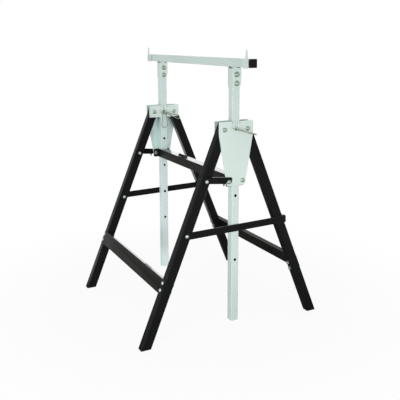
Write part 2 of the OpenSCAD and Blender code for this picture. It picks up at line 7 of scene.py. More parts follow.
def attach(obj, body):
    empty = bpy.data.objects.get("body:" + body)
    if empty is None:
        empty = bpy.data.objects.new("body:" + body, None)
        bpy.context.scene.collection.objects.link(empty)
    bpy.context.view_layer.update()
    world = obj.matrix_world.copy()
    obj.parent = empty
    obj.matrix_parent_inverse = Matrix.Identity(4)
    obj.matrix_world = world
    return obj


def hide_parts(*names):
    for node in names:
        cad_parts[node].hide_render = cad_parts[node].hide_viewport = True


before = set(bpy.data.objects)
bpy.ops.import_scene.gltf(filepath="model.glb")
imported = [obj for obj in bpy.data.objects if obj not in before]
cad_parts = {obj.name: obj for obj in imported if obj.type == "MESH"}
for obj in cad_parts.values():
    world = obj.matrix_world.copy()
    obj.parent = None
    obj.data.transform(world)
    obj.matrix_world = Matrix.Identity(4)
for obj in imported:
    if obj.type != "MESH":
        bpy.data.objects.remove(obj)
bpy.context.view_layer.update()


# Legs: four lengths of 25 by 30 mm steel tube, cut level at the foot and hung on bolts between the head plates.
# They are powder coated black: an even skin with a faint orange peel that shines at low angles, rubbed along
# the corners and a little dusty where it faces up.

def feed(tree, socket, value):
    if isinstance(value, bpy.types.NodeSocket):
        tree.links.new(value, socket)
    else:
        socket.default_value = value


def place(tree, kind, inputs=None, **settings):
    made = tree.nodes.new(kind)
    for label, value in settings.items():
        setattr(made, label, value)
    for label, value in (inputs or {}).items():
        feed(tree, made.inputs[label], value)
    return made


def calc(tree, operation, *values):
    return place(tree, "ShaderNodeMath", dict(enumerate(values)), operation=operation).outputs[0]


def tint(tree, share, low, high):
    return place(tree, "ShaderNodeMix", {0: share, 6: low, 7: high}, data_type="RGBA").outputs[2]


def noise(tree, where, scale, detail, roughness=0.5):
    given = {"Vector": where, "Scale": scale, "Detail": detail, "Roughness": roughness}
    return place(tree, "ShaderNodeTexNoise", given).outputs["Fac"]


def ramp(tree, value, low, high, to_low=0.0, to_high=1.0, shape="LINEAR"):
    given = {"Value": value, "From Min": low, "From Max": high, "To Min": to_low, "To Max": to_high}
    return place(tree, "ShaderNodeMapRange", given, interpolation_type=shape).outputs["Result"]


def effect(name, inputs, outputs):
    tree = bpy.data.node_groups.new(name, "ShaderNodeTree")
    tree.interface.new_socket("Where", in_out="INPUT", socket_type="NodeSocketVector")
    for label, value in inputs.items():
        tree.interface.new_socket(label, in_out="INPUT", socket_type="NodeSocketFloat").default_value = value
    for label in outputs:
        tree.interface.new_socket(label, in_out="OUTPUT", socket_type="NodeSocketFloat")
    return tree, tree.nodes.new("NodeGroupInput").outputs, tree.nodes.new("NodeGroupOutput").inputs


def corner_rub():
    tree, given, out = effect("corner_rub", {"Width": 0.001, "Patch Scale": 30.0}, ["Rubbed"])
    soft = place(tree, "ShaderNodeBevel", {"Radius": given["Width"]}, samples=4).outputs["Normal"]
    face = place(tree, "ShaderNodeNewGeometry").outputs["Normal"]
    turn = place(tree, "ShaderNodeVectorMath", {0: soft, 1: face}, operation="DOT_PRODUCT").outputs["Value"]
    edge = ramp(tree, turn, 0.995, 0.90)
    patch = noise(tree, given["Where"], given["Patch Scale"], detail=4.0, roughness=0.6)
    feed(tree, out["Rubbed"], calc(tree, "MULTIPLY", edge, ramp(tree, patch, 0.42, 0.66)))
    return tree


def coat_skin():
    scales = {"Peel Scale": 520.0, "Drift Scale": 17.0, "Dust Scale": 26.0}
    tree, given, out = effect("coat_skin", scales, ["Dust", "Gloss Drift", "Height"])
    peel = noise(tree, given["Where"], given["Peel Scale"], detail=2.0, roughness=0.45)
    drift = noise(tree, given["Where"], given["Drift Scale"], detail=5.0)
    specks = noise(tree, given["Where"], given["Dust Scale"], detail=8.0, roughness=0.72)
    face = place(tree, "ShaderNodeNewGeometry").outputs["Normal"]
    up = place(tree, "ShaderNodeSeparateXYZ", {"Vector": face}).outputs["Z"]
    spread = calc(tree, "ADD", calc(tree, "MULTIPLY", ramp(tree, up, 0.15, 0.95), 0.85), 0.15)
    feed(tree, out["Dust"], calc(tree, "MULTIPLY", spread, ramp(tree, specks, 0.40, 0.75)))
    feed(tree, out["Gloss Drift"], calc(tree, "SUBTRACT", drift, 0.5))
    feed(tree, out["Height"], peel)
    return tree


def start_finish(name):
    finish = bpy.data.materials.new(name)
    finish.use_nodes = True
    tree = finish.node_tree
    where = place(tree, "ShaderNodeTexCoord").outputs["Object"]
    return finish, tree, tree.nodes["Principled BSDF"].inputs, where


CORNER_RUB = corner_rub()
COAT_SKIN = coat_skin()
DUST, DUST_SHARE = (0.16, 0.155, 0.145, 1), 0.10
BARE_COAT, BARE_SHARE, BARE_WIDTH = (0.20, 0.21, 0.21, 1), 0.35, 0.0012


def coat_finish(name, black, roughness, glaze_from, glaze_full, glaze_most=1.0):
    finish, tree, shader, where = start_finish(name)
    skin = place(tree, "ShaderNodeGroup", {"Where": where}, node_tree=COAT_SKIN).outputs
    rub = place(tree, "ShaderNodeGroup", {"Where": where, "Width": BARE_WIDTH}, node_tree=CORNER_RUB).outputs
    dust = calc(tree, "MULTIPLY", skin["Dust"], DUST_SHARE)
    bare = calc(tree, "MULTIPLY", rub["Rubbed"], BARE_SHARE)
    feed(tree, shader["Base Color"], tint(tree, bare, tint(tree, dust, black, DUST), BARE_COAT))
    gloss = calc(tree, "MULTIPLY_ADD", skin["Gloss Drift"], 0.22, roughness)
    feed(tree, shader["Roughness"], calc(tree, "MULTIPLY_ADD", dust, 0.5, gloss))
    bump = place(tree, "ShaderNodeBump", {"Strength": 0.10, "Distance": 0.0004, "Height": skin["Height"]})
    feed(tree, shader["Normal"], bump.outputs["Normal"])
    shader["Specular IOR Level"].default_value = 0.05
    facing = place(tree, "ShaderNodeLayerWeight", {"Blend": 0.5}).outputs["Facing"]
    feed(tree, shader["Coat Weight"], ramp(tree, facing, glaze_from, glaze_full, to_high=glaze_most))
    shader["Coat Roughness"].default_value = 0.10
    return finish


def dress(finish, *nodes):
    for name in nodes:
        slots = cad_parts[name].data.materials
        slots.clear()
        slots.append(finish)


LEG_BLACK = (0.0066, 0.0070, 0.0073, 1)
LEG_COAT = coat_finish("leg_black_coat", LEG_BLACK, roughness=0.42, glaze_from=0.59, glaze_full=0.70)
dress(LEG_COAT, "leg_front_left", "leg_front_right", "leg_rear_left", "leg_rear_right")


# Lower rails: channels pressed from 2 mm steel sheet, laid across the outer faces of each pair of legs.
# The same black coat lies a little thinner and browner on the flat sheet than on the tubes, and the rear rail's
# coat shines at a steeper angle, but less.

def soften(width, *nodes):
    for name in nodes:
        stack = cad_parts[name].modifiers
        stack.new("join_faces", "WELD").merge_threshold = 1e-6
        edge = stack.new("soft_edge", "BEVEL")
        edge.width, edge.segments = width, 2
        edge.limit_method, edge.angle_limit = "ANGLE", math.radians(40)
        edge.use_clamp_overlap, edge.loop_slide, edge.harden_normals = False, False, True


RAIL_BLACK, PRESSED_EDGE = (0.0095, 0.0090, 0.0080, 1), 0.0004
RAIL_COAT = coat_finish("rail_black_coat", RAIL_BLACK, roughness=0.40, glaze_from=0.595, glaze_full=0.72)
REAR_COAT = coat_finish("rear_rail_black_coat", RAIL_BLACK, roughness=0.40, glaze_from=0.38, glaze_full=0.48,
                        glaze_most=0.5)
dress(RAIL_COAT, "front_rail")
dress(REAR_COAT, "rear_rail")
soften(PRESSED_EDGE, "front_rail", "rear_rail")


# Lower rail bolts: zinc plated mushroom-headed bolts, two at each end of a rail, with nuts inside the legs.
# Heads are cold formed, with a short upright rim under the dome, and the last threads stand out of the nut.
# Other bolts of the trestle are made by the same tree, in three sizes.

SMALL_BOLT = {"Shank Diameter": 0.006, "Head Diameter": 0.011, "Head Height": 0.0035, "Nut Width": 0.010,
              "Nut Height": 0.005, "Thread Past": 0.0015}


def bolt_tree():
    tree = bpy.data.node_groups.new("bolt_and_nut", "GeometryNodeTree")
    add = tree.interface.new_socket
    add("Seats", in_out="INPUT", socket_type="NodeSocketGeometry")
    for label, value in dict(SMALL_BOLT, Grip=0.03).items():
        add(label, in_out="INPUT", socket_type="NodeSocketFloat").default_value = value
    add("Turn Seed", in_out="INPUT", socket_type="NodeSocketInt").default_value = 3
    add("Finish", in_out="INPUT", socket_type="NodeSocketMaterial")
    add("Bolts", in_out="OUTPUT", socket_type="NodeSocketGeometry")
    given = tree.nodes.new("NodeGroupInput").outputs
    out = tree.nodes.new("NodeGroupOutput").inputs

    def half(label):
        return calc(tree, "MULTIPLY", given[label], 0.5)

    def turned(profile, around, radius, height, base):
        last = len(profile) - 1
        grid = place(tree, "GeometryNodeMeshGrid", {"Size X": 1.0, "Size Y": 1.0, "Vertices X": around + 1,
                                                    "Vertices Y": len(profile)})
        position = place(tree, "GeometryNodeInputPosition").outputs[0]
        at = place(tree, "ShaderNodeSeparateXYZ", {"Vector": position}).outputs
        along = calc(tree, "ADD", at["Y"], 0.5)
        angle = calc(tree, "MULTIPLY", at["X"], math.tau)
        drawn = []
        for axis in (0, 1):
            curve = place(tree, "ShaderNodeFloatCurve", {"Value": along})
            points = curve.mapping.curves[0].points
            points[0].location = (0, profile[0][axis])
            points[1].location = (1, profile[last][axis])
            for i in range(1, last):
                points.new(i / last, profile[i][axis])
            for point in points:
                point.handle_type = "VECTOR"
            curve.mapping.update()
            drawn.append(curve.outputs[0])
        out_by = calc(tree, "MULTIPLY", drawn[0], radius)
        up_by = calc(tree, "MULTIPLY_ADD", drawn[1], height, base)
        spot = place(tree, "ShaderNodeCombineXYZ", {
            "X": calc(tree, "MULTIPLY", out_by, calc(tree, "COSINE", angle)),
            "Y": calc(tree, "MULTIPLY", out_by, calc(tree, "SINE", angle)), "Z": up_by}).outputs[0]
        shape = place(tree, "GeometryNodeSetPosition", {"Geometry": grid.outputs["Mesh"], "Position": spot})
        closed = place(tree, "GeometryNodeMergeByDistance", {"Geometry": shape.outputs[0], "Distance": 1e-6})
        return closed.outputs[0]

    rim, dome_steps = 0.18, 9
    arc = [math.pi / 2 * k / dome_steps for k in range(1, dome_steps)]
    dome = [(0, 0), (0.95, 0), (1, 0.05), (1, rim)]
    dome += [(math.cos(a), rim + (1 - rim) * math.sin(a)) for a in arc] + [(0, 1)]
    rod = [(0, 0), (1, 0), (1, 1), (0, 1)]
    nut = [(0, 0), (0.87, 0), (1, 0.13), (1, 0.87), (0.87, 1), (0, 1)]
    tip = [(0, 0), (0.76, 0), (0.86, 0.2), (1, 0.36), (0.86, 0.52), (1, 0.7), (0.88, 0.88), (0.88, 1), (0, 1)]
    length = calc(tree, "ADD", given["Grip"], given["Nut Height"])
    below = calc(tree, "MULTIPLY", length, -1.0)
    corner = calc(tree, "MULTIPLY", half("Nut Width"), 1 / math.cos(math.pi / 6))
    end = calc(tree, "SUBTRACT", below, given["Thread Past"])
    pieces = [
        turned(dome, 32, half("Head Diameter"), given["Head Height"], 0.0),
        turned(rod, 24, half("Shank Diameter"), length, below),
        turned(nut, 6, corner, given["Nut Height"], below),
        turned(tip, 24, half("Shank Diameter"), given["Thread Past"], end),
    ]
    whole = place(tree, "GeometryNodeJoinGeometry")
    for piece in pieces:
        tree.links.new(piece, whole.inputs[0])
    way = place(tree, "GeometryNodeInputNamedAttribute", {"Name": "way"}, data_type="FLOAT_VECTOR")
    aim = place(tree, "FunctionNodeAlignRotationToVector", {"Vector": way.outputs["Attribute"]}, axis="Z")
    spin = place(tree, "FunctionNodeRandomValue", {"Seed": given["Turn Seed"]}, data_type="FLOAT")
    swing = place(tree, "FunctionNodeAxisAngleToRotation",
                  {"Axis": (0, 0, 1), "Angle": calc(tree, "MULTIPLY", spin.outputs[1], math.tau)})
    turn = place(tree, "FunctionNodeRotateRotation",
                 {"Rotation": aim.outputs[0], "Rotate By": swing.outputs[0]}, rotation_space="LOCAL")
    stand = place(tree, "GeometryNodeInstanceOnPoints",
                  {"Points": given["Seats"], "Instance": whole.outputs[0], "Rotation": turn.outputs[0]})
    real = place(tree, "GeometryNodeRealizeInstances", {"Geometry": stand.outputs[0]})
    smooth = place(tree, "GeometryNodeSetShadeSmooth", {"Geometry": real.outputs[0]}, domain="FACE")
    angle = place(tree, "GeometryNodeInputMeshEdgeAngle")
    soft = place(tree, "FunctionNodeCompare", {"A": angle.outputs[0], "B": 0.62}, data_type="FLOAT",
                 operation="LESS_THAN")
    crisp = place(tree, "GeometryNodeSetShadeSmooth",
                  {"Geometry": smooth.outputs[0], "Shade Smooth": soft.outputs[0]}, domain="EDGE")
    dressed = place(tree, "GeometryNodeSetMaterial",
                    {"Geometry": crisp.outputs[0], "Material": given["Finish"]})
    tree.links.new(dressed.outputs[0], out["Bolts"])
    return tree


def grow(name, mesh, tree, inputs):
    piece = bpy.data.objects.new(name, mesh)
    bpy.context.scene.collection.objects.link(piece)
    made = piece.modifiers.new(name, "NODES")
    made.node_group = tree
    sockets = {s.name: s.identifier for s in tree.interface.items_tree if s.in_out == "INPUT"}
    for label, value in inputs.items():
        made[sockets[label]] = value
    graph = bpy.context.evaluated_depsgraph_get()
    grown = bpy.data.meshes.new_from_object(piece.evaluated_get(graph))
    piece.modifiers.clear()
    piece.data = grown
    return piece


def bolt_row(node, body, seats, grip, size, finish, seed):
    mesh = bpy.data.meshes.new(node)
    mesh.from_pydata([at for at, way in seats], [], [])
    ways = mesh.attributes.new("way", "FLOAT_VECTOR", "POINT")
    for entry, (at, way) in zip(ways.data, seats):
        entry.vector = way
    inputs = dict(size, Grip=grip, Finish=finish, **{"Turn Seed": seed})
    piece = grow("made_" + node, mesh, BOLT_TREE, inputs)
    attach(piece, body)
    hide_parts(node)


def plating_skin():
    scales = {"Bloom Scale": 9.0, "Line Scale": 260.0, "Speck Scale": 75.0}
    tree, given, out = effect("plating_skin", scales, ["Bloom", "Lines", "Specks"])
    bloom = noise(tree, given["Where"], given["Bloom Scale"], detail=5.0, roughness=0.55)
    lines = noise(tree, given["Where"], given["Line Scale"], detail=3.0, roughness=0.6)
    specks = noise(tree, given["Where"], given["Speck Scale"], detail=6.0, roughness=0.7)
    feed(tree, out["Bloom"], calc(tree, "SUBTRACT", bloom, 0.5))
    feed(tree, out["Lines"], calc(tree, "SUBTRACT", lines, 0.5))
    feed(tree, out["Specks"], ramp(tree, specks, 0.60, 0.75))
    return tree


PLATING_SKIN = plating_skin()
POLISH, POLISH_SHARE, POLISH_WIDTH = 1.18, 0.5, 0.0010
# Near black painted into the tube bores: painted shade inside the tube, not a colour of the steel.
BORE_SHADE_BLACK = (0.010, 0.010, 0.009, 1)


def plated_finish(name, pale, deep, metallic, roughness, draw=(1, 1, 1), bloom=0.9, bore=None, specular=0.5):
    finish, tree, shader, where = start_finish(name)
    drawn = place(tree, "ShaderNodeMapping", {"Vector": where, "Scale": draw}).outputs[0]
    skin = place(tree, "ShaderNodeGroup", {"Where": where}, node_tree=PLATING_SKIN).outputs
    fine = place(tree, "ShaderNodeGroup", {"Where": drawn}, node_tree=PLATING_SKIN).outputs
    rub = place(tree, "ShaderNodeGroup", {"Where": where, "Width": POLISH_WIDTH}, node_tree=CORNER_RUB).outputs
    cloud = calc(tree, "MULTIPLY_ADD", skin["Bloom"], bloom, 0.35)
    cloud = calc(tree, "MULTIPLY_ADD", fine["Lines"], 0.35, cloud)
    cloud = calc(tree, "MULTIPLY_ADD", skin["Specks"], 0.25, cloud)
    colour = tint(tree, place(tree, "ShaderNodeClamp", {"Value": cloud}).outputs[0], pale, deep)
    bright = tuple(min(1.0, POLISH * c) for c in pale[:3]) + (1,)
    colour = tint(tree, calc(tree, "MULTIPLY", rub["Rubbed"], POLISH_SHARE), colour, bright)
    # Painted shade: inside the tube walls the colour goes near black, standing for the shade in the bore and
    # holes.
    if bore:
        middle, half = bore
        at = place(tree, "ShaderNodeSeparateXYZ", {"Vector": where}).outputs
        from_tube = calc(tree, "SUBTRACT", calc(tree, "ABSOLUTE", at["X"]), middle)
        off = calc(tree, "MAXIMUM", calc(tree, "ABSOLUTE", from_tube), calc(tree, "ABSOLUTE", at["Y"]))
        colour = tint(tree, calc(tree, "LESS_THAN", off, half), colour, BORE_SHADE_BLACK)
    feed(tree, shader["Base Color"], colour)
    dull = calc(tree, "MULTIPLY_ADD", skin["Bloom"], 0.25, roughness)
    feed(tree, shader["Roughness"], calc(tree, "MULTIPLY_ADD", fine["Lines"], 0.12, dull))
    bump = place(tree, "ShaderNodeBump", {"Strength": 0.06, "Distance": 0.0003, "Height": fine["Lines"]})
    feed(tree, shader["Normal"], bump.outputs["Normal"])
    shader["Metallic"].default_value = metallic
    shader["Specular IOR Level"].default_value = specular
    return finish


BOLT_TREE = bolt_tree()
PALE_BOLT = plated_finish("pale_zinc_plate", (0.49, 0.55, 0.50, 1), (0.39, 0.45, 0.40, 1),
                          metallic=0.7, roughness=0.36)

SIDES = (-1, 1)
UPRIGHT_X, TUBE, LEG_DEPTH = 0.264, 0.025, 0.030
HEAD_Z, PIVOT_Y, FOOT_Y = 0.636, 0.0395, 0.5975 / 2
TILT = math.atan((FOOT_Y - PIVOT_Y) / HEAD_Z)
DOWN_LEG = Vector((0, math.sin(TILT), -math.cos(TILT)))
OUT_OF_LEG = Vector((0, math.cos(TILT), math.sin(TILT)))


def on_leg(x, y, down, out):
    at = Vector((x, PIVOT_Y, HEAD_Z)) + DOWN_LEG * down + OUT_OF_LEG * out
    return Vector((at.x, y * at.y, at.z))


RAIL_T, RAIL_DOWN, RAIL_BOLT_STEP = 0.002, 0.4965, 0.011
RAIL_GRIP = LEG_DEPTH + RAIL_T


def rail_bolt_seats(y):
    way = Vector((0, y * OUT_OF_LEG.y, OUT_OF_LEG.z))
    out = LEG_DEPTH / 2 + RAIL_T
    return [(on_leg(x * UPRIGHT_X, y, RAIL_DOWN + i * RAIL_BOLT_STEP, out), way)
            for x in SIDES for i in (-1, 1)]


bolt_row("front_rail_bolts", "front_frame", rail_bolt_seats(-1), RAIL_GRIP, SMALL_BOLT, PALE_BOLT, 1)
bolt_row("rear_rail_bolts", "rear_frame", rail_bolt_seats(1), RAIL_GRIP, SMALL_BOLT, PALE_BOLT, 2)


# Head plates: two long outer and two short inner plates, blanked from 2 mm steel and bright zinc plated.
# The legs hang between them on four bolts, and the uprights slide between them. The left outer plate is painted
# greener than the others, as painted light: the teal cast that its inner face takes between the plates.

ROLLED, BLANKED_EDGE = (1, 0.2, 1), 0.00035
HEAD_PLATE = plated_finish("head_zinc_plate", (0.66, 0.76, 0.715, 1), (0.57, 0.68, 0.635, 1),
                           metallic=0.25, roughness=0.40, draw=ROLLED)
# Painted light: the left outer plate's greener colours stand for the cast of the light between the plates.
LEFT_PLATE_PAINTED_LIGHT = plated_finish("left_head_zinc_painted_light", (0.66, 0.83, 0.795, 1), (0.57, 0.755, 0.72, 1),
                           metallic=0.25, roughness=0.40, draw=ROLLED)
dress(HEAD_PLATE, "outer_plate_right", "inner_plate_left", "inner_plate_right")
dress(LEFT_PLATE_PAINTED_LIGHT, "outer_plate_left")
soften(BLANKED_EDGE, "outer_plate_left", "outer_plate_right", "inner_plate_left", "inner_plate_right")

PLATE_IN, PLATE_OUT = 0.0128, 0.0148
LARGE_BOLT = {"Shank Diameter": 0.008, "Head Diameter": 0.0135, "Head Height": 0.0045, "Nut Width": 0.013,
              "Nut Height": 0.0065, "Thread Past": 0.0015}
BOLT_PLATE = plated_finish("bolt_zinc_plate", (0.34, 0.43, 0.345, 1), (0.22, 0.30, 0.23, 1),
                           metallic=0.85, roughness=0.34)
pivot_seats = [((x * UPRIGHT_X + PLATE_OUT, y * PIVOT_Y, HEAD_Z), (1, 0, 0)) for x in SIDES for y in (-1, 1)]
bolt_row("leg_pivot_bolts", "head", pivot_seats, 2 * PLATE_OUT, LARGE_BOLT, BOLT_PLATE, 3)


# Upper rail: a black pressed channel, open below, that straddles both uprights and guides them.
# Its tabs are bolted to the outer plates; the front bolts stand proud as studs for the latch links.

dress(RAIL_COAT, "upper_rail")
soften(PRESSED_EDGE, "upper_rail")

BAR_T, EASE = 0.0025, 0.0003
STUD_FRONT, STUD_REAR, STUD_DROP = 0.026, 0.0229, 0.1573
STUD_Z = HEAD_Z - STUD_DROP
stud_out = PLATE_OUT + EASE + BAR_T + EASE
stud_seats = [((x * (UPRIGHT_X + stud_out), -STUD_FRONT, STUD_Z), (x, 0, 0)) for x in SIDES]
bolt_row("hook_studs", "head", stud_seats, stud_out - PLATE_IN + RAIL_T, LARGE_BOLT, BOLT_PLATE, 4)
tab_seats = [((x * (UPRIGHT_X + PLATE_OUT), STUD_REAR, STUD_Z), (x, 0, 0)) for x in SIDES]
bolt_row("plate_bolts", "head", tab_seats, PLATE_OUT - PLATE_IN + RAIL_T, LARGE_BOLT, BOLT_PLATE, 5)


# Uprights: 25 mm square tube with a row of punched height holes, bright zinc plated with a faint green cast.
# The draw lines of the tube run along it and the lower ends are left open. The bore is painted near black, as
# painted shade inside the tube.
# The left tube is duller than the right one, and its colour is painted lighter as painted light against the
# shade on it.

# Painted shade in the bore: everything more than 0.7 mm inside the tube's outer faces is painted near black.
DRAWN_UP, BORE_SHADE_INSET = (1, 1, 0.03), 0.0007
SHADED_BORE = (UPRIGHT_X, TUBE / 2 - BORE_SHADE_INSET)
RIGHT_TUBE = plated_finish("right_upright_zinc_plate", (0.62, 0.73, 0.695, 1), (0.54, 0.655, 0.62, 1),
                           metallic=0.18, roughness=0.38, draw=DRAWN_UP, bore=SHADED_BORE)
# Painted light: the left tube's colours are lighter than the right tube's to lift the shade that falls on it.
LEFT_TUBE_PAINTED_LIGHT = plated_finish("left_upright_zinc_painted_light", (0.68, 0.80, 0.78, 1), (0.60, 0.73, 0.71, 1),
                          metallic=0.04, roughness=0.45, draw=DRAWN_UP, bloom=0.3, bore=SHADED_BORE, specular=0.15)
dress(RIGHT_TUBE, "upright_right")
dress(LEFT_TUBE_PAINTED_LIGHT, "upright_left")


# Saddles: channels of 3 mm plate, open to the front, welded under the beam with the web behind the upright.
# Two bolts with broad cup heads go through both ears and the top of each upright.

dress(HEAD_PLATE, "saddle_left", "saddle_right")
soften(PRESSED_EDGE, "saddle_left", "saddle_right")

BEAM_Z, SADDLE_OUT = 0.8195, 0.0157
SADDLE_BOLT_DROP, SADDLE_BOLT_PITCH = 0.022, 0.026
CAP_BOLT = dict(LARGE_BOLT, **{"Head Diameter": 0.0165, "Head Height": 0.005})
saddle_seats = [((x * UPRIGHT_X + SADDLE_OUT, 0, BEAM_Z - SADDLE_BOLT_DROP - i * SADDLE_BOLT_PITCH), (1, 0, 0))
                for x in SIDES for i in (0, 1)]
bolt_row("saddle_bolts", "mast", saddle_seats, 2 * SADDLE_OUT, CAP_BOLT, BOLT_PLATE, 6)


# Beam: one length of the same square tube, laid flat on the saddles to carry the boards.
# Each end is closed with a moulded black plastic plug with a fine leathery grain.

BEAM_PLATE = plated_finish("beam_zinc_plate", (0.60, 0.71, 0.665, 1), (0.52, 0.63, 0.585, 1),
                           metallic=0.35, roughness=0.38, draw=(0.03, 1, 1))
dress(BEAM_PLATE, "beam")

PLUG_BLACK, PLUG_DUST, PLUG_DUST_SHARE = (0.006, 0.006, 0.006, 1), (0.05, 0.05, 0.047, 1), 0.25
MOULDED_EDGE = 0.0005


def plug_finish():
    finish, tree, shader, where = start_finish("plug_black_plastic")
    grain = place(tree, "ShaderNodeTexVoronoi", {"Vector": where, "Scale": 900.0}).outputs["Distance"]
    skin = place(tree, "ShaderNodeGroup", {"Where": where}, node_tree=COAT_SKIN).outputs
    dust = calc(tree, "MULTIPLY", skin["Dust"], PLUG_DUST_SHARE)
    feed(tree, shader["Base Color"], tint(tree, dust, PLUG_BLACK, PLUG_DUST))
    feed(tree, shader["Roughness"], calc(tree, "MULTIPLY_ADD", skin["Gloss Drift"], 0.2, 0.48))
    bump = place(tree, "ShaderNodeBump", {"Strength": 0.25, "Distance": 0.0002, "Height": grain})
    feed(tree, shader["Normal"], bump.outputs["Normal"])
    shader["Specular IOR Level"].default_value = 0.08
    return finish


dress(plug_finish(), "beam_plug_left", "beam_plug_right")
soften(MOULDED_EDGE, "beam_plug_left", "beam_plug_right")


# End stops: flat bases with a spike, cut from 3 mm plate and zinc plated like the head plates.
# Each turns on a small bolt through the front and back of the beam, near its end.

dress(HEAD_PLATE, "stop_left", "stop_right")
soften(PRESSED_EDGE, "stop_left", "stop_right")

STOP_X, STOP_T, STOP_BOLT_RISE = 0.356, 0.003, 0.010
stop_out = TUBE / 2 + EASE + STOP_T + EASE
stop_seats = [((x * STOP_X, -stop_out, BEAM_Z + STOP_BOLT_RISE), (0, -1, 0)) for x in SIDES]
bolt_row("stop_bolts", "mast", stop_seats, stop_out + TUBE / 2, SMALL_BOLT, HEAD_PLATE, 7)


# Latch links: black bars with a hooked end, which turn on the front legs and hook over the studs.
# A short plated collar holds each link off its leg, level with the head plates.

dress(LEG_COAT, "latch_link_left", "latch_link_right")
soften(PRESSED_EDGE, "latch_link_left", "latch_link_right")

dress(PALE_BOLT, "link_spacers")
LINK_DOWN = 0.1613
link_seats = [(on_leg(x * (UPRIGHT_X + stud_out), -1, LINK_DOWN, 0), (x, 0, 0)) for x in SIDES]
bolt_row("link_bolts", "front_frame", link_seats, stud_out + TUBE / 2, SMALL_BOLT, PALE_BOLT, 8)


# Lower stays: flat bars, coated black like the legs, each bolted through a front leg so that it can turn.
# A lip bent from the far end hooks round the rear leg and keeps the pair from spreading.

dress(LEG_COAT, "stay_left", "stay_right")
soften(PRESSED_EDGE, "stay_left", "stay_right")

STAY_DOWN = 0.3321
stay_out = TUBE / 2 + EASE + BAR_T + EASE
stay_seats = [(on_leg(x * (UPRIGHT_X + stay_out), -1, STAY_DOWN, 0), (x, 0, 0)) for x in SIDES]
bolt_row("stay_bolts", "front_frame", stay_seats, stay_out + TUBE / 2, SMALL_BOLT, PALE_BOLT, 9)


# Height pins: plain steel rods, zinc plated like the bolts, pushed through the head plates and the uprights.
# A cross hole near the end of each takes its clip.

dress(BOLT_PLATE, "pin_left", "pin_right")


# Spring clips: R-shaped clips bent from one length of 3 mm spring wire, with a yellow-green plating.
# The straight leg goes through the pin; the waved leg hangs below the left pin and stands past the end of the
# right one.

def wire_tree():
    tree = bpy.data.node_groups.new("bent_wire", "GeometryNodeTree")
    add = tree.interface.new_socket
    add("Path", in_out="INPUT", socket_type="NodeSocketGeometry")
    add("Wire Diameter", in_out="INPUT", socket_type="NodeSocketFloat").default_value = 0.003
    add("Finish", in_out="INPUT", socket_type="NodeSocketMaterial")
    add("Wire", in_out="OUTPUT", socket_type="NodeSocketGeometry")
    given = tree.nodes.new("NodeGroupInput").outputs
    out = tree.nodes.new("NodeGroupOutput").inputs
    line = place(tree, "GeometryNodeMeshToCurve", {"Mesh": given["Path"]})
    radius = calc(tree, "MULTIPLY", given["Wire Diameter"], 0.5)
    section = place(tree, "GeometryNodeCurvePrimitiveCircle",
                    {"Resolution": 14, "Radius": radius}, mode="RADIUS")
    wire = place(tree, "GeometryNodeCurveToMesh",
                 {"Curve": line.outputs[0], "Profile Curve": section.outputs[0], "Fill Caps": True})
    smooth = place(tree, "GeometryNodeSetShadeSmooth", {"Geometry": wire.outputs[0]}, domain="FACE")
    real = place(tree, "GeometryNodeRealizeInstances", {"Geometry": smooth.outputs[0]})
    dressed = place(tree, "GeometryNodeSetMaterial",
                    {"Geometry": real.outputs[0], "Material": given["Finish"]})
    tree.links.new(dressed.outputs[0], out["Wire"])
    return tree


def bend(steps, at):
    line, spot, way = [Vector(at)], Vector(at), 0.0
    for run, turn, radius in steps:
        spot = spot + run * Vector((math.cos(way), math.sin(way)))
        side = math.copysign(radius, turn)
        middle = spot + side * Vector((-math.sin(way), math.cos(way)))
        count = max(1, math.ceil(abs(turn) / BEND_STEP)) if turn else 0
        for k in range(count + 1):
            a = way + math.radians(turn) * k / max(1, count)
            line.append(middle + side * Vector((math.sin(a), -math.cos(a))))
        spot, way = line[-1], way + math.radians(turn)
    return line


def wire_piece(node, body, line, closed, diameter, finish):
    mesh = bpy.data.meshes.new(node)
    edges = [(i, i + 1) for i in range(len(line) - 1)] + ([(len(line) - 1, 0)] if closed else [])
    mesh.from_pydata(line, edges, [])
    piece = grow("made_" + node, mesh, WIRE_TREE, {"Wire Diameter": diameter, "Finish": finish})
    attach(piece, body)
    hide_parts(node)


WIRE_TREE = wire_tree()
SPRING_PLATE = plated_finish("spring_zinc_plate", (0.40, 0.44, 0.36, 1), (0.29, 0.32, 0.26, 1),
                             metallic=0.88, roughness=0.28)

# Each bend is a straight run in metres, a turn in degrees and its radius in metres.
CLIP_X, CLIP_WIRE, CLIP_LEN, CLIP_TIP, BEND_STEP = 0.0243, 0.003, 0.057, -0.014, 8
EYE_RUN, EYE_R, WAVE_R = 0.0064, 0.006, 0.008
CLIP_BENDS = [(EYE_RUN, 190, EYE_R), (0.68 * CLIP_LEN, -28, EYE_R), (0.004, 20, WAVE_R), (0.014, -22, WAVE_R),
              (0.007, 0, 0)]
DROOP, LEFT_ROLL, RIGHT_ROLL = math.radians(18), math.radians(180), math.radians(80)
clip_line = [Vector((CLIP_TIP, 0))] + bend(CLIP_BENDS, (CLIP_LEN - EYE_RUN, 0))
for side, x, roll in (("left", -1, LEFT_ROLL), ("right", 1, RIGHT_ROLL)):
    lie = Matrix.Rotation(-DROOP, 3, "X") @ Matrix.Rotation(roll, 3, "Y")
    through_pin = Vector((x * UPRIGHT_X + CLIP_X, 0, HEAD_Z))
    clip_path = [through_pin + lie @ Vector((0, p.x, p.y)) for p in clip_line]
    wire_piece("clip_" + side, "clip_" + side, clip_path, False, CLIP_WIRE, SPRING_PLATE)


# Keeper ring: a long loop of thin wire, bent round and closed, with a darker plating than the clips.
# It hangs on the left pin, between the plate and the clip.

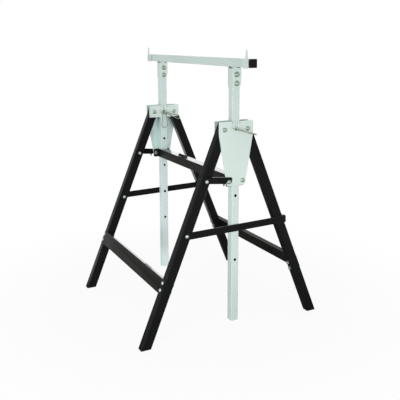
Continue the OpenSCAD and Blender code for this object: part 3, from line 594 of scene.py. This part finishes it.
RING_WIRE, RING_BEND, RING_FALL, RING_STEPS = 0.0018, 0.0115, 0.0485, 24
PIN_R, PIN_EASE = 0.004, 0.0002
ring_top = PIN_R + RING_WIRE / 2 + PIN_EASE
lean = math.asin((RING_BEND - ring_top) / RING_FALL)
ring_x = -UPRIGHT_X + PLATE_OUT + 1.5 * RING_WIRE
ring_line = []
for radius, low, start, sweep in ((ring_top, 0, lean, math.pi - 2 * lean),
                                  (RING_BEND, RING_FALL, math.pi - lean, math.pi + 2 * lean)):
    for k in range(RING_STEPS + 1):
        a = start + sweep * k / RING_STEPS
        ring_line.append((ring_x, radius * math.cos(a), HEAD_Z - low + radius * math.sin(a)))
RING_PLATE = plated_finish("ring_zinc_plate", (0.20, 0.21, 0.16, 1), (0.13, 0.14, 0.10, 1),
                           metallic=0.6, roughness=0.40)
wire_piece("keeper_ring", "pin_left", ring_line, True, RING_WIRE, RING_PLATE)


# Studio: a plain white paper floor and surround, and four soft lamps with narrow beams, one of them low behind
# the object so that level black faces catch it. The camera sees the floor nearly white, with the object's
# shadow; mirrored rays see a painted shadow, the floor glowing dark close to the object and white further out.

scene = bpy.context.scene
WHITE, PAPER = (1, 1, 1, 1), (0.94, 0.94, 0.94, 1)
FLOOR_HALF, FLOOR_Z = 20, -0.0003


def seen_rays(tree):
    path = place(tree, "ShaderNodeLightPath").outputs
    return path["Is Camera Ray"], calc(tree, "MAXIMUM", path["Is Glossy Ray"], path["Is Transmission Ray"])


corners = [(x * FLOOR_HALF, y * FLOOR_HALF, FLOOR_Z) for x, y in ((-1, -1), (1, -1), (1, 1), (-1, 1))]
floor_mesh = bpy.data.meshes.new("floor")
floor_mesh.from_pydata(corners, [], [(0, 1, 2, 3)])
floor = bpy.data.objects.new("floor", floor_mesh)
scene.collection.objects.link(floor)
paper = bpy.data.materials.new("floor_paper")
paper.use_nodes = True
tree = paper.node_tree
tree.nodes.clear()
where = place(tree, "ShaderNodeTexCoord").outputs["Object"]
reach = place(tree, "ShaderNodeVectorMath", {0: where}, operation="LENGTH").outputs["Value"]
fade = ramp(tree, reach, 0.4, 1.1, to_low=0.90, shape="SMOOTHSTEP")
# Painted shadow: mirrored rays see the floor glow at 0.06 near the object, rising to full white from 0.45 to
# 0.95 m.
painted_shadow = ramp(tree, reach, 0.45, 0.95, to_low=0.94, to_high=0.0, shape="SMOOTHSTEP")
watched, mirrored = seen_rays(tree)
level = calc(tree, "SUBTRACT", 1.0, calc(tree, "MULTIPLY", mirrored, painted_shadow))
share = calc(tree, "MAXIMUM", mirrored, calc(tree, "MULTIPLY", watched, fade))
flat = place(tree, "ShaderNodeBsdfDiffuse", {"Color": PAPER}).outputs[0]
glow = place(tree, "ShaderNodeEmission", {"Color": WHITE, "Strength": level}).outputs[0]
blend = place(tree, "ShaderNodeMixShader", {0: share, 1: flat, 2: glow}).outputs[0]
place(tree, "ShaderNodeOutputMaterial", {"Surface": blend})
floor_mesh.materials.append(paper)

SURROUND_LIT, SURROUND_SEEN = 0.55, 0.45
surround = bpy.data.worlds.new("surround")
scene.world = surround
surround.use_nodes = True
tree = surround.node_tree
tree.nodes.clear()
seen = calc(tree, "MAXIMUM", *seen_rays(tree))
level = calc(tree, "MULTIPLY_ADD", seen, SURROUND_SEEN, SURROUND_LIT)
sky = place(tree, "ShaderNodeBackground", {"Color": WHITE, "Strength": level}).outputs[0]
place(tree, "ShaderNodeOutputWorld", {"Surface": sky})

LAMP_SPREAD = math.radians(60)


def lamp(name, at, aim, size, power):
    light = bpy.data.lights.new(name, "AREA")
    light.shape, light.size, light.energy, light.spread = "SQUARE", size, power, LAMP_SPREAD
    made = bpy.data.objects.new(name, light)
    scene.collection.objects.link(made)
    made.location = at
    made.rotation_euler = (Vector(aim) - Vector(at)).to_track_quat("-Z", "Y").to_euler()
    made.visible_camera = False


lamp("front_lamp", (1.9, -2.7, 0.55), (-0.1, 0, -0.2), size=1.0, power=8)
lamp("right_lamp", (3.2, 0.6, 0.55), (-0.1, 0, -0.2), size=1.0, power=2.2)
lamp("back_lamp", (-1.5, 2.9, 0.7), (0, 0, 0.1), size=1.0, power=3)
lamp("low_lamp", (-2.55, 1.33, 0.80), (0, 0, 0.5), size=1.2, power=0.55)

CAMERA_AT = (1.837137, -0.91979, 0.895535)
YAW, PITCH, ROLL = math.radians(62.872), math.radians(-10.104), math.radians(-0.147)
SENSOR, LENS, SHIFT_UP = 36.0, 55.3228, -0.125
camera = bpy.data.objects.new("camera", bpy.data.cameras.new("camera"))
scene.collection.objects.link(camera)
scene.camera = camera
ahead = Vector((-math.sin(YAW) * math.cos(PITCH), math.cos(YAW) * math.cos(PITCH), math.sin(PITCH)))
level_right = Vector((math.cos(YAW), math.sin(YAW), 0))
level_up = level_right.cross(ahead)
right = math.cos(ROLL) * level_right + math.sin(ROLL) * level_up
up = math.cos(ROLL) * level_up - math.sin(ROLL) * level_right
turned_to = Matrix((right, up, -ahead)).transposed().to_4x4()
camera.matrix_world = Matrix.Translation(CAMERA_AT) @ turned_to
camera.data.sensor_width, camera.data.lens, camera.data.shift_y = SENSOR, LENS, SHIFT_UP

scene.view_settings.view_transform = "Standard"
